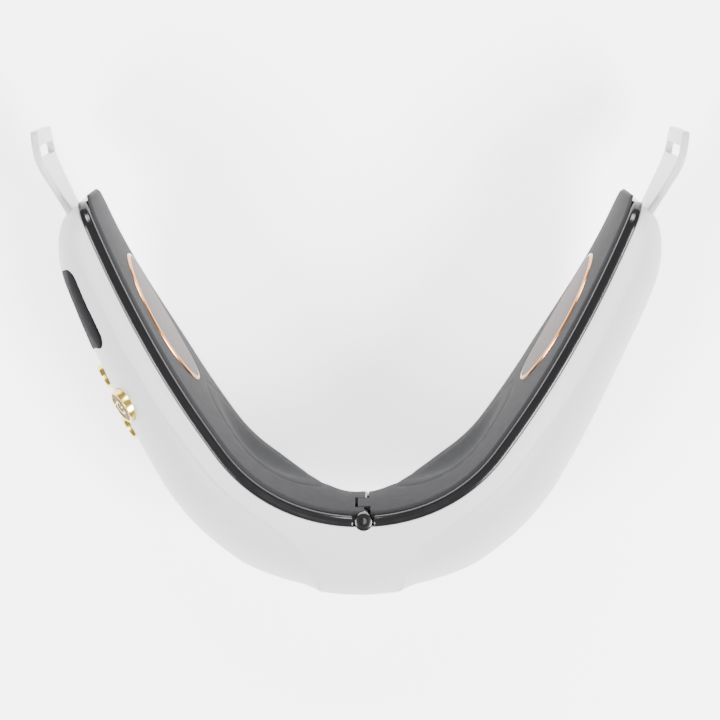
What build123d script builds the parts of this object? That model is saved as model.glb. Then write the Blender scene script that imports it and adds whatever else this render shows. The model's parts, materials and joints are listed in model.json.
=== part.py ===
"""Eye massager mask: two shells joined by a hinge at the nose, with soft face pads and strap lugs.

Millimetres, +Z up as worn, -Y towards the nose, +X the wearer's left. The lowest edge lies on z = 0.
Places on the mask are given by s, the distance along the rim from the nose (negative on the wearer's
right), n, the distance outward from the rim in plan, and z, the height.
"""
import os
from math import atan2, copysign, cos, degrees, radians, sin, sqrt, tan

from build123d import *

# Plan of the rim: a tight arc round the nose, then a flat arc along each temple
NOSE_RADIUS = 45.0
NOSE_TURN = radians(54)
TEMPLE_RADIUS = 290.0
NOSE_ARC = NOSE_RADIUS * NOSE_TURN
HALF_RIM = 113.5
RIM_FRONT_Y = -38.4

# Heights along the rim
NOSE_TOP, EYE_TOP, TEMPLE_TOP = 57.0, 60.0, 53.0
NOSE_BOTTOM, EYE_BOTTOM, TEMPLE_BOTTOM = 26.0, 0.2, 20.0
END_RADIUS = 9.0
FOOT = 0.5
BELLY = 0.47

# Outer shell
NOSE_BULGE, EYE_BULGE, TEMPLE_TAPER = 20.7, 21.8, 0.118
WALL = 2.0
BRIDGE_HALF = 8.0
GAP = 0.3
POST_RADIUS = 2.2

# Inner frame, pads and electrodes: depths inward from the rim
PLATE = 1.2
LIP = 2.7
LIP_WIDTH = 1.8
FILM = 0.25
SEAT = 0.1
PAD_EDGE, PAD_CREST = 3.3, 4.6
PAD_INSET = 2.0
ELECTRODE_S, ELECTRODE_Z = 78.0, 35.0
ELECTRODE_HALF = (19.5, 13.5)

# Hinge at the nose
HINGE = (0.9, RIM_FRONT_Y + 1.3)
BARREL_RADIUS = 2.25
PIN_RADIUS = 1.0
WEB_LENGTH, WEB_THICKNESS, WEB_DEPTH = 4.5, 0.7, 0.75
KNUCKLES = ((26.6, 36.2), (36.5, 46.5), (46.8, 56.8))

# Strap lugs: plan path of the tongue on the left side, and half heights along it
LUG_PATH = ((71.4, 35.6), (80.9, 53.4), (82.0, 60.1))
LUG_HALF_HEIGHTS = ((-1, 9.0), (7, 10.0), (16, 14.0), (20.5, 16.0), (26, 15.5), (30, 12.0))
LUG_THICKNESS = 1.8
LUG_MID_Z = 34.0
STRAP_SLOT = (27.0, 3.0)

# Controls on the right half: place (s, z), cap radius
POWER = (-64.5, 48.0, 4.5)
PLUS = (-72.0, 35.0, 3.3)
MINUS = (-58.0, 35.0, 3.3)
TRAVEL = 0.6
CAP_PROUD, CAP_DEPTH, FLANGE = 1.0, 4.0, 0.8
SWITCH_GAP = TRAVEL + GAP
WINDOW = (-90.2, 43.6)
WINDOW_SIZE = (21.5, 17.0)
SOCKET = (-84.0, 13.5)

# Screws of the inner frames: head radius, and places (s, z) of the posts they bite into
HEAD_RADIUS, HEAD_DEPTH = 1.9, 0.9
HEAD_TAPER = atan2(HEAD_RADIUS - PIN_RADIUS, HEAD_DEPTH)
SINK_ABOVE = 0.3
POSTS = ((36.0, 16.0), (36.0, 46.0), (74.0, 49.5), (102.5, 27.0))
SIDES = ((-1, "right"), (1, "left"))


def ease(t):
    """Smooth step from 0 to 1."""
    t = min(1.0, max(0.0, t))
    return t * t * (3 - 2 * t)


def rim(s):
    """Plan position of the rim at s, and the angle of its tangent."""
    turn = min(abs(s) / NOSE_RADIUS, NOSE_TURN)
    more = max(0.0, abs(s) - NOSE_ARC) / TEMPLE_RADIUS
    x = NOSE_RADIUS * sin(turn) + TEMPLE_RADIUS * (sin(turn + more) - sin(turn))
    y = RIM_FRONT_Y + NOSE_RADIUS * (1 - cos(turn)) + TEMPLE_RADIUS * (cos(turn) - cos(turn + more))
    return copysign(x, s), y, copysign(turn + more, s)


def plan(s, n):
    """Plan point n outward of the rim at s."""
    x, y, angle = rim(s)
    return x + n * sin(angle), y - n * cos(angle)


def end_drop(s):
    """How far the top and bottom edges have rounded in near the temple end."""
    t = min(0.97, max(0.0, (abs(s) - HALF_RIM + END_RADIUS) / END_RADIUS))
    return END_RADIUS * (1 - sqrt(1 - t * t))


def top_z(s):
    """Height of the rim's upper edge."""
    rise = (EYE_TOP - NOSE_TOP) * ease(abs(s) / 35)
    return NOSE_TOP + rise - (EYE_TOP - TEMPLE_TOP) * ease((abs(s) - 55) / 58) - end_drop(s)


def bottom_z(s):
    """Height of the rim's lower edge, arched over the nose."""
    arch = (NOSE_BOTTOM - EYE_BOTTOM) * (1 - ease(abs(s) / 28))
    return EYE_BOTTOM + arch + (TEMPLE_BOTTOM - EYE_BOTTOM) * ease((abs(s) - 64) / 50) + end_drop(s)


def belly_z(s):
    """Height at which the shell stands out furthest."""
    return top_z(s) - BELLY * (top_z(s) - bottom_z(s))


def bulge(s):
    """How far the shell stands out from the rim at its belly."""
    along = abs(s)
    nose = (EYE_BULGE - NOSE_BULGE) * (1 - ease(along / 20))
    end = sqrt(1 - max(0.0, (along - 97) / 18) ** 2)
    return (EYE_BULGE - nose - TEMPLE_TAPER * max(0.0, along - 22)) * end


def surface_n(s, z):
    """Outward distance of the shell's outer surface at s and z."""
    belly = belly_z(s)
    half = top_z(s) - belly if z > belly else belly - bottom_z(s)
    return bulge(s) * sqrt(1 - ((z - belly) / half) ** 2)


def surface_tilt(s, z):
    """Angle of the outer surface's normal above the horizontal, in radians."""
    step = 0.2
    return atan2(surface_n(s, z - step) - surface_n(s, z + step), 2 * step)


def station(s):
    """Upright plane across the rim at s, with local x outward and local y up."""
    x, y, angle = rim(s)
    return Plane(origin=(x, y, 0), x_dir=(sin(angle), -cos(angle), 0), z_dir=(-cos(angle), -sin(angle), 0))


def facing(s, z, n=None, tilt=None):
    """Plane facing outward at s and z, lying on the outer surface unless n is given."""
    angle = rim(s)[2]
    tilt = (surface_tilt(s, z) if n is None else 0.0) if tilt is None else tilt
    x, y = plan(s, surface_n(s, z) if n is None else n)
    normal = (sin(angle) * cos(tilt), -cos(angle) * cos(tilt), sin(tilt))
    return Plane(origin=(x, y, z), x_dir=(cos(angle), sin(angle), 0), z_dir=normal)


def spread(side, first, last, rounds=True):
    """Stations from first to last, closer together in the rounded temple end."""
    inner = [s for s in (6, 12, 18, 24, 30, 36, 43, 52, 62, 72, 82, 92, 99) if first + 2 < s < last - 3]
    ends = [s for s in (104.5, 107.5, 110.0, 112.0) if first < s < last - 1] if rounds else []
    return [side * s for s in [first, *inner, *ends, last]]


def shell_blank(stations, inset=0.0, back=0.0):
    """Solid D-shaped body of the shell, its surface moved inward by inset and its flat back at n = back."""
    with BuildPart() as blank:
        for s in stations:
            middle, reach = belly_z(s), bulge(s) - inset - back
            upper, lower = top_z(s) - middle - inset, middle - bottom_z(s) - inset
            with BuildSketch(station(s)):
                with BuildLine():
                    EllipticalCenterArc((back, middle), reach, lower, start_angle=-90, arc_size=90)
                    EllipticalCenterArc((back, middle), reach, upper, start_angle=0, arc_size=90)
                    Line((back, middle + upper), (back, middle - lower))
                make_face()
        loft()
    return blank.part


def band_blank(stations, inner, outer, inset, foot=0.0):
    """Upright band between depths inner and outer, inset from the rim's edges, with a foot below."""
    with BuildPart() as blank:
        for s in stations:
            with BuildSketch(station(s)):
                with BuildLine():
                    low, high = bottom_z(s) + inset - foot, top_z(s) - inset
                    Polyline((inner, low), (outer, low), (outer, high), (inner, high), close=True)
                make_face()
        loft()
    return blank.part


def pad_blank(stations, proud=0.0, back=-PLATE - FILM - 2 * SEAT):
    """Cushion body with a convex face, its surface raised by proud."""
    with BuildPart() as blank:
        for s in stations:
            low, high = bottom_z(s) + PAD_INSET, top_z(s) - PAD_INSET
            edge, crest = -PAD_EDGE - proud, -PAD_CREST - proud
            with BuildSketch(station(s)):
                with BuildLine():
                    ThreePointArc((edge, high), (crest, (low + high) / 2), (edge, low))
                    Polyline((edge, low), (back, low), (back, high), (edge, high))
                make_face()
        loft()
    return blank.part


def cover_prism(side):
    """Plan area of the hard eye cover, whose edge follows the rim and turns forward at the nose."""
    edge = ((110.5, 15), (109, 8), (104, 5.2), (95, 4.6), (78, 4.9), (60, 4.8), (40, 4.0), (30, 3.8),
            (22, 4.3), (15.5, 6.4), (11, 10.2), (8.2, 15.5), (7.2, 20))
    near = [plan(side * s, n) for s, n in edge]
    with BuildPart() as prism:
        with BuildSketch(Plane.XY.offset(-5)):
            with BuildLine():
                Spline(*near)
                Polyline(near[-1], (near[-1][0], -80), (side * 110, -80), (side * 110, near[0][1]), near[0])
            make_face()
        extrude(amount=80)
    return prism.part


def knuckle(part_side, low, high):
    """One hinge barrel section with its web back to the frame's plate."""
    x, y = HINGE
    with BuildPart() as section:
        with BuildSketch(Plane.XY.offset(low)):
            with Locations((x, y)):
                Circle(BARREL_RADIUS)
            with Locations((x + part_side * WEB_LENGTH / 2, RIM_FRONT_Y + WEB_DEPTH)):
                Rectangle(WEB_LENGTH, WEB_THICKNESS)
        extrude(amount=high - low)
    return section.part


def finish(builder, name):
    """Label a finished part and write it."""
    builder.part.label = name
    export_step(builder.part, f"parts/{name}.step")


os.makedirs("parts", exist_ok=True)
prisms = {side: cover_prism(side) for side, half in SIDES}
blanks = {side: shell_blank(spread(side, 3, HALF_RIM)) for side, half in SIDES}
hollows = {side: shell_blank(spread(side, 2, 108), WALL, -1.0) for side, half in SIDES}

# Translucent strap lugs at the temple ends
lugs = {}
for side, half in SIDES:
    root, bend, tip = [(side * x, y) for x, y in LUG_PATH]
    chord = Vector(tip[0] - root[0], tip[1] - root[1], 0).normalized()
    last = Vector(tip[0] - bend[0], tip[1] - bend[1], 0).normalized()
    with BuildPart() as lug:
        with BuildSketch(Plane.XY.offset(LUG_MID_Z - 20)):
            with BuildLine():
                FilletPolyline(root, bend, tip, radius=12)
            trace(line_width=LUG_THICKNESS)
        extrude(amount=40)
        along = Plane(origin=(*root, LUG_MID_Z), x_dir=chord, z_dir=Vector(chord.Y, -chord.X, 0))
        with BuildSketch(along) as outline:
            with BuildLine():
                upper = [(u, v) for u, v in LUG_HALF_HEIGHTS]
                Polyline(*upper, *[(u, -v) for u, v in reversed(upper)], close=True)
            make_face()
            fillet(outline.vertices(), radius=2.0)
        extrude(amount=15, both=True, mode=Mode.INTERSECT)
        centre = Vector(*tip, 0) - last * 4.0
        across = Plane(origin=(centre.X, centre.Y, LUG_MID_Z), x_dir=last, z_dir=Vector(last.Y, -last.X, 0))
        with BuildSketch(across):
            SlotOverall(*STRAP_SLOT, rotation=90)
        extrude(amount=5, both=True, mode=Mode.SUBTRACT)
    finish(lug, f"{half}_strap_lug")
    lugs[side] = lug.part

# Soft white skins: the band along the rim of each half
for side, half in SIDES:
    with BuildPart() as skin:
        add(blanks[side])
        add(hollows[side], mode=Mode.SUBTRACT)
        add(prisms[side], mode=Mode.SUBTRACT)
        add(lugs[side], mode=Mode.SUBTRACT)
        edge_plane = Plane(origin=(side * BRIDGE_HALF, 0, 0), x_dir=(0, 1, 0), z_dir=(side, 0, 0))
        split(bisect_by=edge_plane, keep=Keep.TOP)
    finish(skin, f"{half}_skin")

# Soft bridge of the skin across the hinge
bridge_stations = (-13, -9, -6, -3, 0, 3, 6, 9, 13)
bridge_blank = shell_blank(bridge_stations)
bridge_hollow = shell_blank(bridge_stations, WALL, -1.0)
with BuildPart() as bridge_skin:
    add(bridge_blank)
    add(bridge_hollow, mode=Mode.SUBTRACT)
    with Locations((0, RIM_FRONT_Y + NOSE_RADIUS, 0)):
        Cylinder(NOSE_RADIUS + GAP, 200, mode=Mode.SUBTRACT)
    with Locations((*HINGE, 0)):
        Cylinder(BARREL_RADIUS + GAP, 200, mode=Mode.SUBTRACT)
    with Locations((-GAP / 2, RIM_FRONT_Y, 40)):
        Box(2 * BRIDGE_HALF - GAP, 80, 80, mode=Mode.INTERSECT)
finish(bridge_skin, "bridge_skin")

# Hard eye covers, with the posts that the frame screws bite into
for side, half in SIDES:
    with BuildPart() as cover:
        add(blanks[side])
        add(hollows[side], mode=Mode.SUBTRACT)
        add(prisms[side], mode=Mode.INTERSECT)
        for s, z in POSTS:
            with BuildSketch(facing(side * s, z, 0.0)):
                Circle(POST_RADIUS)
            extrude(amount=surface_n(s, z) - 1.6)
        for s, z in POSTS:
            with BuildSketch(facing(side * s, z, 0.0)):
                Circle(PIN_RADIUS)
            extrude(amount=6.5, mode=Mode.SUBTRACT)
        if half == "right":
            for s, z, radius in (POWER, PLUS, MINUS):
                with BuildSketch(facing(s, z)):
                    Circle(radius + GAP)
                extrude(amount=4, both=True, mode=Mode.SUBTRACT)
            with BuildSketch(facing(*WINDOW)):
                RectangleRounded(*WINDOW_SIZE, 3.5)
            extrude(amount=5, both=True, mode=Mode.SUBTRACT)
            with BuildSketch(facing(*SOCKET)):
                RectangleRounded(9.4, 3.6, 1.79)
            extrude(amount=9, both=True, mode=Mode.SUBTRACT)
    finish(cover, f"{half}_cover")

# Glossy display window, a piece of the shell's own surface
with BuildPart() as display_window:
    add(blanks[-1])
    add(hollows[-1], mode=Mode.SUBTRACT)
    with BuildSketch(facing(*WINDOW)):
        RectangleRounded(WINDOW_SIZE[0] - 0.1, WINDOW_SIZE[1] - 0.1, 3.45)
    extrude(amount=5, both=True, mode=Mode.INTERSECT)
finish(display_window, "display_window")

# Black inner frames with the hinge knuckles
for side, half in SIDES:
    start = {-1: 2.0, 1: 3.8}[side]
    sections = (0, 2) if side < 0 else (1,)
    hole = PIN_RADIUS if side < 0 else PIN_RADIUS + 0.05
    body = band_blank(spread(side, start, HALF_RIM), -LIP, 0.0, 0.0, FOOT)
    recess = band_blank(spread(side, start - 1, HALF_RIM - LIP_WIDTH), -LIP - 1, -PLATE, LIP_WIDTH)
    webs = [knuckle(side, *KNUCKLES[index]) for index in sections]
    with BuildPart() as inner_frame:
        add(body)
        add(recess, mode=Mode.SUBTRACT)
        add(webs)
        with Locations((*HINGE, 0)):
            Cylinder(hole, 200, mode=Mode.SUBTRACT)
        for s, z in POSTS:
            with BuildSketch(facing(side * s, z, -PLATE - SINK_ABOVE)):
                Circle(HEAD_RADIUS + SINK_ABOVE * tan(HEAD_TAPER))
            extrude(amount=HEAD_DEPTH + SINK_ABOVE, taper=degrees(HEAD_TAPER), mode=Mode.SUBTRACT)
            with BuildSketch(facing(side * s, z, 0.0)):
                Circle(PIN_RADIUS)
            extrude(amount=PLATE, both=True, mode=Mode.SUBTRACT)
        split(bisect_by=Plane.XY, keep=Keep.TOP)
    finish(inner_frame, f"{half}_inner_frame")

# Hinge pin, pressed into the right frame and running in the left one
with BuildPart() as hinge_pin:
    with BuildSketch(Plane.XY.offset(KNUCKLES[0][0])):
        with Locations(HINGE):
            Circle(PIN_RADIUS)
    extrude(amount=KNUCKLES[2][1] - KNUCKLES[0][0] - 0.6)
finish(hinge_pin, "hinge_pin")

# Countersunk screws that hold each frame to its cover
for side, half in SIDES:
    with BuildPart() as frame_screws:
        for s, z in POSTS:
            with BuildSketch(facing(side * s, z, -PLATE)):
                Circle(HEAD_RADIUS)
            extrude(amount=HEAD_DEPTH, taper=degrees(HEAD_TAPER))
            with BuildSketch(facing(side * s, z, -PLATE / 2)):
                Circle(PIN_RADIUS)
            extrude(amount=6.6)
    finish(frame_screws, f"{half}_frame_screws")

# Heating films behind the pads
for side, half in SIDES:
    film = band_blank(spread(side, 14, 100, False), -PLATE - SEAT - FILM, -PLATE - SEAT, 5.0)
    with BuildPart() as heating_film:
        add(film)
    finish(heating_film, f"{half}_heating_film")

# Copper electrodes set into the pads at the temples
for side, half in SIDES:
    around = spread(side, 50, 106, False)
    electrode_body = pad_blank(around, 0.5, -PAD_EDGE)
    electrode_back = pad_blank(around, -0.6, 0.0)
    with BuildPart() as electrode:
        add(electrode_body)
        add(electrode_back, mode=Mode.SUBTRACT)
        with BuildSketch(facing(side * ELECTRODE_S, ELECTRODE_Z, 0.0)):
            Ellipse(*ELECTRODE_HALF)
        extrude(amount=15, both=True, mode=Mode.INTERSECT)
    finish(electrode, f"{half}_electrode")

    # Soft face pad, recessed for the electrode and kept clear of the hinge barrel
    start = {-1: -1.4, 1: 3.2}[side]
    cushion = pad_blank(spread(side, start, HALF_RIM - LIP_WIDTH))
    with BuildPart() as face_pad:
        add(cushion)
        add(electrode.part, mode=Mode.SUBTRACT)
        with Locations((*HINGE, 0)):
            Cylinder(BARREL_RADIUS + 2 * GAP, 200, mode=Mode.SUBTRACT)
        if side < 0:
            with Locations((HINGE[0] + 5, HINGE[1], 0)):
                Box(10, 6, 200, mode=Mode.SUBTRACT)
    finish(face_pad, f"{half}_face_pad")

# Vibration motors, one behind each eye
for side, half in SIDES:
    with BuildPart() as vibration_motor:
        with BuildSketch(facing(side * 24, 41, 0.2)):
            Circle(5)
        extrude(amount=3.0)
        with BuildSketch(facing(side * 24, 41, 0.2)):
            with Locations((0, -6)):
                Rectangle(3, 4)
        extrude(amount=0.8)
    finish(vibration_motor, f"{half}_vibration_motor")

# Main board with its chips, behind the right eye
with BuildPart() as main_board:
    with BuildSketch(facing(-57.5, 28, 4.0)):
        RectangleRounded(36, 21, 1.5)
    extrude(amount=1.2)
    with BuildSketch(facing(-57.5, 28, 5.2)):
        with Locations((-8, 3)):
            Rectangle(7, 7)
        with Locations((5, -4)):
            Rectangle(5, 5)
        with Locations((10, 5)):
            Rectangle(6, 3)
        with GridLocations(2.5, 4, 4, 2):
            Rectangle(1.6, 0.8)
    extrude(amount=1.0)
finish(main_board, "main_board")

# Display board with its light bars behind the window
display_plane = facing(*WINDOW)
with BuildPart() as display_board:
    with BuildSketch(display_plane.offset(-5.0)):
        RectangleRounded(19, 13, 1.0)
    extrude(amount=-1.0)
    with BuildSketch(display_plane.offset(-5.0)):
        with GridLocations(4.5, 5, 4, 2):
            Rectangle(2.6, 1.2)
    extrude(amount=0.8)
finish(display_board, "display_board")

# Buttons: a gold cup for power with its face and icon, and two small gold caps
switch_base = CAP_DEPTH + SWITCH_GAP
for (s, z, radius), name in ((POWER, "power_button"), (PLUS, "plus_button"), (MINUS, "minus_button")):
    cap_plane = facing(s, z)
    with BuildPart() as cap:
        with BuildSketch(cap_plane.offset(-CAP_DEPTH)):
            Circle(radius)
        extrude(amount=CAP_DEPTH + CAP_PROUD)
        with BuildSketch(cap_plane.offset(-CAP_DEPTH)):
            Circle(radius + FLANGE)
        extrude(amount=FLANGE)
        with BuildSketch(cap_plane.offset(CAP_PROUD)):
            Circle(radius - 0.6)
        extrude(amount=-0.6, mode=Mode.SUBTRACT)
        if name != "power_button":
            with BuildSketch(cap_plane.offset(CAP_PROUD - 0.6)):
                Rectangle(2.8, 0.7)
                if name == "plus_button":
                    Rectangle(0.7, 2.8)
            extrude(amount=0.4)
    finish(cap, name)

power_plane = facing(*POWER[:2])
with BuildPart() as power_button_face:
    with BuildSketch(power_plane.offset(CAP_PROUD - 0.6)):
        Circle(POWER[2] - 0.6)
    extrude(amount=0.3)
finish(power_button_face, "power_button_face")

with BuildPart() as power_icon:
    with BuildSketch(power_plane.offset(CAP_PROUD - 0.3)):
        Circle(2.2)
        Circle(1.6, mode=Mode.SUBTRACT)
        with Locations((0, 1.8)):
            Rectangle(1.6, 1.6, mode=Mode.SUBTRACT)
            Rectangle(0.6, 2.2)
    extrude(amount=0.3)
finish(power_icon, "power_icon")

# Tact switches under the buttons, and the board that carries them
with BuildPart() as tact_switches:
    for s, z, radius in (POWER, PLUS, MINUS):
        with BuildSketch(facing(s, z).offset(-switch_base - 2.0)):
            RectangleRounded(4.5, 4.5, 0.5)
        extrude(amount=1.5)
        with BuildSketch(facing(s, z).offset(-switch_base - 0.5)):
            Circle(1.2)
        extrude(amount=0.5)
finish(tact_switches, "tact_switches")

with BuildPart() as button_board:
    for s, z, radius in (POWER, PLUS, MINUS):
        with BuildSketch(facing(s, z).offset(-switch_base - 2.0)):
            RectangleRounded(7.5, 6.5, 1.0)
        extrude(amount=-0.8)
finish(button_board, "button_board")

# Charging socket on the lower edge
socket_plane = facing(*SOCKET)
with BuildPart() as charging_socket:
    with BuildSketch(socket_plane.offset(-0.6)):
        RectangleRounded(9.0, 3.2, 1.59)
    extrude(amount=-7.0)
    with BuildSketch(socket_plane.offset(-0.6)):
        RectangleRounded(8.4, 2.6, 1.29)
    extrude(amount=-6.0, mode=Mode.SUBTRACT)
    with BuildSketch(socket_plane.offset(-2.0)):
        Rectangle(6.6, 0.7)
    extrude(amount=-5.5)
finish(charging_socket, "charging_socket")

# Battery in the left half, on its tray with a foam strip over it
for name, depth, height, size in (("battery_tray", 0.3, 1.0, (38, 25)), ("battery", 1.3, 6.0, (36, 23)),
                                  ("battery_foam", 7.3, 0.8, (30, 18))):
    with BuildPart() as layer:
        with BuildSketch(facing(58, 29, depth + 0.6)):
            RectangleRounded(*size, 1.5)
        extrude(amount=height)
    finish(layer, name)

# Flat cable from the board to the battery, round the front of the hinge
cable_radius = NOSE_RADIUS + 9.0
with BuildPart() as ribbon_cable:
    with BuildSketch(Plane.XY.offset(32)):
        with BuildLine():
            CenterArc((0, RIM_FRONT_Y + NOSE_RADIUS), cable_radius, -135, 90)
        trace(line_width=0.4)
    extrude(amount=6)
finish(ribbon_cable, "ribbon_cable")
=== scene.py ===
"""Looks of the eye massager mask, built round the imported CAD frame.
"""
import json
import math

import bmesh
import bpy
import numpy as np
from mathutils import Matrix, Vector


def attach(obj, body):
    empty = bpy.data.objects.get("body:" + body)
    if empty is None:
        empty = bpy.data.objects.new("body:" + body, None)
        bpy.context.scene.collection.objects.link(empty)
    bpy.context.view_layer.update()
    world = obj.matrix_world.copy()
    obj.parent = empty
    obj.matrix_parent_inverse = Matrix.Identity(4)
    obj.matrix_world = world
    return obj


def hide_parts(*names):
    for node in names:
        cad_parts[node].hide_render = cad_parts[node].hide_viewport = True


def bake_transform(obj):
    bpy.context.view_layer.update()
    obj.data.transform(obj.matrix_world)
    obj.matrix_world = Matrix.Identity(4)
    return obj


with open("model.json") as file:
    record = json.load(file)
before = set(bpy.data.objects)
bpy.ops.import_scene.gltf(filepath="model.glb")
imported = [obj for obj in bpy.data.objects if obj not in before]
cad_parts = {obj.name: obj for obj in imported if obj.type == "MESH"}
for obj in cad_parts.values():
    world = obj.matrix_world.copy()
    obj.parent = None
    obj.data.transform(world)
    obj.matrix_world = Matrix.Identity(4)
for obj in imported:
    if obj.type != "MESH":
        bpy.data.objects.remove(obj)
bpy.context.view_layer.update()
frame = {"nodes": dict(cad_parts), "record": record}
MM = 0.001

# Driving dimensions. They are the CAD model's, except for seven set a little off it, whose CAD values are
# TEMPLE_TOP 53, END_RADIUS 9, PAD_EDGE 3.3, BARREL_RADIUS 2.25, PIN_RADIUS 1, WINDOW's height 43.6 and
# KNUCKLES meeting at 36.35 and 46.65
NOSE_RADIUS, NOSE_TURN, TEMPLE_RADIUS = 45.0, math.radians(54), 290.0
NOSE_ARC = NOSE_RADIUS * NOSE_TURN
HALF_RIM, RIM_FRONT_Y = 113.5, -38.4
NOSE_TOP, EYE_TOP, TEMPLE_TOP = 57.0, 60.0, 55.5
NOSE_BOTTOM, EYE_BOTTOM, TEMPLE_BOTTOM = 26.0, 0.2, 20.0
END_RADIUS, BELLY, FOOT = 6.5, 0.47, 0.5
NOSE_BULGE, EYE_BULGE, TEMPLE_TAPER = 20.7, 21.8, 0.118
TOP_RISE, TOP_FALL_START, TOP_FALL = 35, 55, 58
ARCH_LENGTH, BOTTOM_RISE_START, BOTTOM_RISE = 28, 64, 50
BULGE_RISE, TAPER_START, BULGE_END_START, BULGE_END = 20, 22, 97, 18
PLATE = 1.2
PAD_EDGE, PAD_CREST, PAD_INSET = 3.45, 4.6, 2.0
HINGE = (0.9, RIM_FRONT_Y + 1.3)
BARREL_RADIUS, PIN_RADIUS = 2.2, 0.95
KNUCKLES = ((26.6, 41.2), (41.5, 50.7), (51.0, 56.8))
LUG_PATH = ((71.4, 35.6), (80.9, 53.4), (82.0, 60.1))
LUG_MID_Z, LUG_THICKNESS = 34.0, 1.8
POWER, PLUS, MINUS = (-64.5, 48.0), (-72.0, 35.0), (-58.0, 35.0)
POWER_RADIUS, SMALL_RADIUS = 4.5, 3.3
WINDOW, WINDOW_SIZE = (-90.2, 44.5), (21.5, 17.0)
SOCKET = (-84.0, 13.5)
SIDES = ((-1, "right"), (1, "left"))

# The openings in the right cover, as drawn here
BUTTON_GAP, WINDOW_CORNER, SOCKET_SIZE, SOCKET_CORNER = 0.15, 3.5, (9.4, 3.6), 1.79


def ease(t):
    """Smooth step from 0 to 1."""
    t = np.clip(t, 0.0, 1.0)
    return t * t * (3 - 2 * t)


def rim(s):
    """Plan position of the rim at s, and its tangent's angle."""
    along = np.abs(s)
    turn = np.minimum(along / NOSE_RADIUS, NOSE_TURN)
    more = np.maximum(0.0, along - NOSE_ARC) / TEMPLE_RADIUS
    x = NOSE_RADIUS * np.sin(turn) + TEMPLE_RADIUS * (np.sin(turn + more) - np.sin(turn))
    y = RIM_FRONT_Y + NOSE_RADIUS * (1 - np.cos(turn)) + TEMPLE_RADIUS * (np.cos(turn) - np.cos(turn + more))
    sign = np.where(np.asarray(s) < 0, -1.0, 1.0)
    return x * sign, y, (turn + more) * sign


def place(s, n, z):
    """Points n outward of the rim at s, at height z."""
    x, y, angle = rim(s)
    return np.stack(np.broadcast_arrays(x + n * np.sin(angle), y - n * np.cos(angle), z), axis=-1)


def end_drop(s):
    """How far the rounded corner at a temple end takes the rim down."""
    t = np.clip((np.abs(s) - HALF_RIM + END_RADIUS) / END_RADIUS, 0.0, 1.0)
    return END_RADIUS * (1 - np.sqrt(1 - t * t))


def top_z(s):
    """Height of the upper rim."""
    along = np.abs(s)
    rise = (EYE_TOP - NOSE_TOP) * ease(along / TOP_RISE)
    fall = (EYE_TOP - TEMPLE_TOP) * ease((along - TOP_FALL_START) / TOP_FALL)
    return NOSE_TOP + rise - fall - end_drop(s)


def bottom_z(s):
    """Height of the lower rim, arched over the nose."""
    along = np.abs(s)
    arch = (NOSE_BOTTOM - EYE_BOTTOM) * (1 - ease(along / ARCH_LENGTH))
    rise = (TEMPLE_BOTTOM - EYE_BOTTOM) * ease((along - BOTTOM_RISE_START) / BOTTOM_RISE)
    return EYE_BOTTOM + arch + rise + end_drop(s)


def belly_z(s):
    """Height at which the shell reaches furthest out."""
    return top_z(s) - BELLY * (top_z(s) - bottom_z(s))


def bulge(s):
    """How far the shell reaches outward of the rim at the belly."""
    along = np.abs(s)
    nose = (EYE_BULGE - NOSE_BULGE) * (1 - ease(along / BULGE_RISE))
    end = np.sqrt(1 - np.clip((along - BULGE_END_START) / BULGE_END, 0, 1) ** 2)
    return (EYE_BULGE - nose - TEMPLE_TAPER * np.maximum(0.0, along - TAPER_START)) * end


def surface_n(s, z):
    """Distance of the shell's outer surface from the rim at height z."""
    belly = belly_z(s)
    half = np.where(z > belly, top_z(s) - belly, belly - bottom_z(s))
    return bulge(s) * np.sqrt(np.clip(1 - ((z - belly) / half) ** 2, 0, 1))


def facing(s, z):
    """Origin on the outer surface at s and z, with the along, up and outward directions there."""
    step = 0.2
    tilt = math.atan2(float(surface_n(s, z - step) - surface_n(s, z + step)), 2 * step)
    angle = float(rim(s)[2])
    origin = place(s, float(surface_n(s, z)), z)
    outward = np.array([math.sin(angle) * math.cos(tilt), -math.cos(angle) * math.cos(tilt), math.sin(tilt)])
    along = np.array([math.cos(angle), math.sin(angle), 0.0])
    return origin, along, np.cross(outward, along), outward


# ---------------------------------------------------------------- mesh helpers

def make_object(name, points, faces, material, smooth=True):
    mesh = bpy.data.meshes.new(name)
    mesh.from_pydata([tuple(p * MM) for p in np.asarray(points, float)], [], faces)
    mesh.validate()
    mesh.polygons.foreach_set("use_smooth", [smooth] * len(mesh.polygons))
    piece = bpy.data.objects.new(name, mesh)
    bpy.context.scene.collection.objects.link(piece)
    mesh.materials.append(material)
    return piece


def grid_faces(count, rows):
    """Quads of columns of points that go round and close; the rows inside a column stay open."""
    faces = []
    for i in range(count):
        a, b = i * rows, (i + 1) % count * rows
        for j in range(rows - 1):
            faces.append((a + j, b + j, b + j + 1, a + j + 1))
    return faces


def tube_faces(count, rows, offset=0, closed=False):
    """Quads between rings of points; closed joins the last ring to the first."""
    faces = []
    for i in range(count if closed else count - 1):
        a, b = offset + i * rows, offset + (i + 1) % count * rows
        for j in range(rows):
            k = (j + 1) % rows
            faces.append((a + j, b + j, b + k, a + k))
    return faces


def capped_tube_faces(count, rows, offset=0):
    """An open tube with a face over each end."""
    last = offset + (count - 1) * rows
    caps = [tuple(range(offset, offset + rows)), tuple(reversed(range(last, last + rows)))]
    return tube_faces(count, rows, offset) + caps


def clean(piece, merge=0.004):
    """Merge doubles, drop loose points and turn the faces outward."""
    work = bmesh.new()
    work.from_mesh(piece.data)
    bmesh.ops.remove_doubles(work, verts=work.verts, dist=merge * MM)
    loose = [v for v in work.verts if not v.link_faces]
    bmesh.ops.delete(work, geom=loose, context="VERTS")
    bmesh.ops.recalc_face_normals(work, faces=work.faces)
    work.to_mesh(piece.data)
    work.free()
    return piece


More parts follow.
